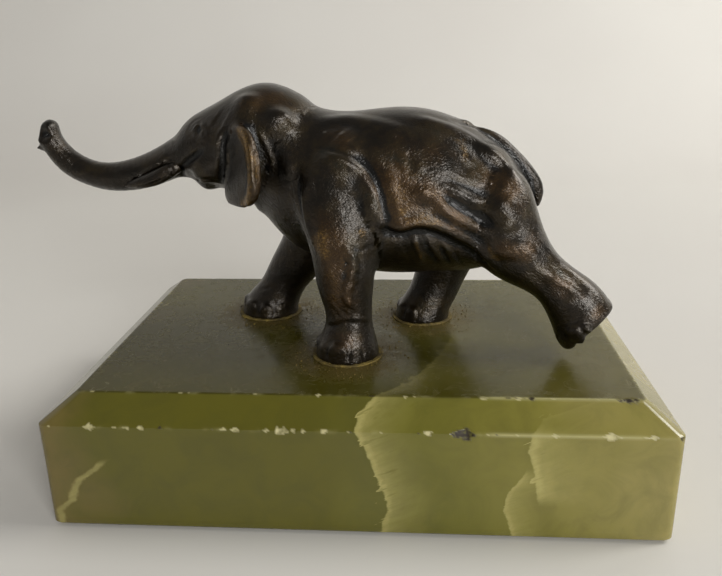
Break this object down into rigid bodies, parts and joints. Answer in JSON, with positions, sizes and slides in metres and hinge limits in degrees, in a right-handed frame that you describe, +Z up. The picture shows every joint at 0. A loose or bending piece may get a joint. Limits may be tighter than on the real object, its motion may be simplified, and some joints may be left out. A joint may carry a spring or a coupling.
{
  "type": "elephant figurine on plinth",
  "caption": "Striding bronze elephant with raised trunk and one hind leg kicked back, bolted through its planted feet to a bevelled green onyx plinth.",
  "frame": {"origin": "centre of the underside of the baize pad, in the middle of the plinth's footprint, on the table", "axes": "+Z up; +X along the plinth's length, towards the elephant's tail, so that the trunk points to -X; -Y is the front edge of the plinth, the side that the kicked hind leg is on"},
  "size_m": [0.152, 0.096, 0.0961],
  "materials": {
    "bronze": "dark brown patinated cast bronze, rubbed to gold on the high spots",
    "tusk_bronze": "dark patinated bronze, a little paler than the body",
    "onyx": "polished green onyx with pale cream veins, translucent",
    "baize": "napped green baize",
    "stud_brass": "turned brass rod",
    "zinc_steel": "dull zinc plate",
    "bedding": "brown, crumbly old setting compound"
  },
  "bodies": {
    "root": {"elephant_casting": "bronze", "near_tusk": "tusk_bronze", "far_tusk": "tusk_bronze", "onyx_plinth": "onyx", "baize_pad": "baize", "near_fore_stud": "stud_brass", "near_fore_washer": "zinc_steel", "near_fore_nut": "zinc_steel", "near_fore_bedding": "bedding", "far_fore_stud": "stud_brass", "far_fore_washer": "zinc_steel", "far_fore_nut": "zinc_steel", "far_fore_bedding": "bedding", "far_hind_stud": "stud_brass", "far_hind_washer": "zinc_steel", "far_hind_nut": "zinc_steel", "far_hind_bedding": "bedding"}
  },
  "joints": []
}
